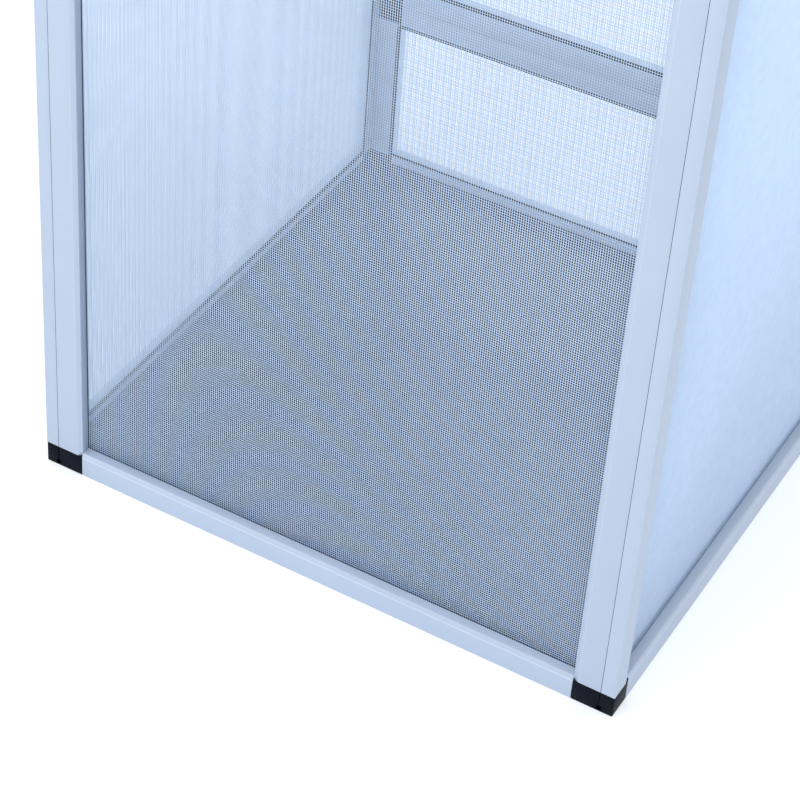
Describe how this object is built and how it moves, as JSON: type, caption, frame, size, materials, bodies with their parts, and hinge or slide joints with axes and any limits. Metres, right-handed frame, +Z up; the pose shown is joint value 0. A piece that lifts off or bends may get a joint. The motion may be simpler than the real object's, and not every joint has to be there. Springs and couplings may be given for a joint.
{
  "type": "reptile vivarium",
  "caption": "Tall screened vivarium: aluminium frame panels with black corner blocks, fine mesh on every side, a solid floor, and a low and a tall hinged front door.",
  "frame": {"origin": "on the ground, at the middle of the object's outer box", "axes": "+Z up; -Y is the front with the two doors; +X is the hinge side, at the right of someone facing the doors"},
  "size_m": [0.45, 0.4551, 0.9],
  "materials": {
    "frame": "satin, pale silver",
    "corner_block": "matte black, faint sheen",
    "screen": "woven wire with a black rim cord",
    "floor": "smooth dark grey, slight sheen",
    "hinge": "satin",
    "latch": "matte black"
  },
  "bodies": {
    "cage": {"back_bottom_rail": "frame", "back_left_bottom_block": "corner_block", "back_left_stile": "frame", "back_right_bottom_block": "corner_block", "back_right_stile": "frame", "back_screen": "screen", "back_top_rail": "frame", "floor_board": "floor", "floor_front_bearer": "frame", "floor_rear_bearer": "frame", "left_rear_top_connector": "corner_block", "left_side_bottom_rail": "frame", "left_side_front_bottom_block": "corner_block", "left_side_front_stile": "frame", "left_side_front_top_block": "corner_block", "left_side_rear_bottom_block": "corner_block", "left_side_rear_stile": "frame", "left_side_screen": "screen", "left_side_top_rail": "frame", "lower_hinge_frame_leaf": "hinge", "middle_hinge_frame_leaf": "hinge", "right_rear_top_connector": "corner_block", "right_side_bottom_rail": "frame", "right_side_front_bottom_block": "corner_block", "right_side_front_stile": "frame", "right_side_front_top_block": "corner_block", "right_side_rear_bottom_block": "corner_block", "right_side_rear_stile": "frame", "right_side_screen": "screen", "right_side_top_rail": "frame", "top_front_bar": "frame", "top_left_bar": "frame", "top_rear_bar": "frame", "top_right_bar": "frame", "top_screen": "screen", "upper_hinge_frame_leaf": "hinge"},
    "lower_door": {"lower_door_bottom_rail": "frame", "lower_door_left_bottom_block": "corner_block", "lower_door_left_stile": "frame", "lower_door_left_top_block": "corner_block", "lower_door_right_bottom_block": "corner_block", "lower_door_right_stile": "frame", "lower_door_right_top_block": "corner_block", "lower_door_screen": "screen", "lower_door_top_rail": "frame", "lower_hinge_door_leaf": "hinge"},
    "upper_door": {"middle_hinge_door_leaf": "hinge", "upper_door_bottom_rail": "frame", "upper_door_left_bottom_block": "corner_block", "upper_door_left_stile": "frame", "upper_door_left_top_block": "corner_block", "upper_door_right_bottom_block": "corner_block", "upper_door_right_stile": "frame", "upper_door_right_top_block": "corner_block", "upper_door_screen": "screen", "upper_door_top_rail": "frame", "upper_hinge_door_leaf": "hinge"},
    "lower_latch": {"lower_latch": "latch"},
    "upper_latch": {"upper_latch": "latch"}
  },
  "joints": [
    {"name": "lower_door_hinge", "type": "hinge", "parent": "cage", "child": "lower_door", "pos_m": [0.2146, -0.22515, 0], "axis": [0, 0, 1], "range_deg": [0, 175]},
    {"name": "upper_door_hinge", "type": "hinge", "parent": "cage", "child": "upper_door", "pos_m": [0.2146, -0.22515, 0], "axis": [0, 0, 1], "range_deg": [0, 175]},
    {"name": "lower_latch_turn", "type": "hinge", "parent": "cage", "child": "lower_latch", "pos_m": [-0.22, -0.22245, 0.08105], "axis": [0, -1, 0], "range_deg": [0, 90]},
    {"name": "upper_latch_turn", "type": "hinge", "parent": "cage", "child": "upper_latch", "pos_m": [-0.22, -0.22245, 0.5308], "axis": [0, -1, 0], "range_deg": [0, 90]}
  ]
}
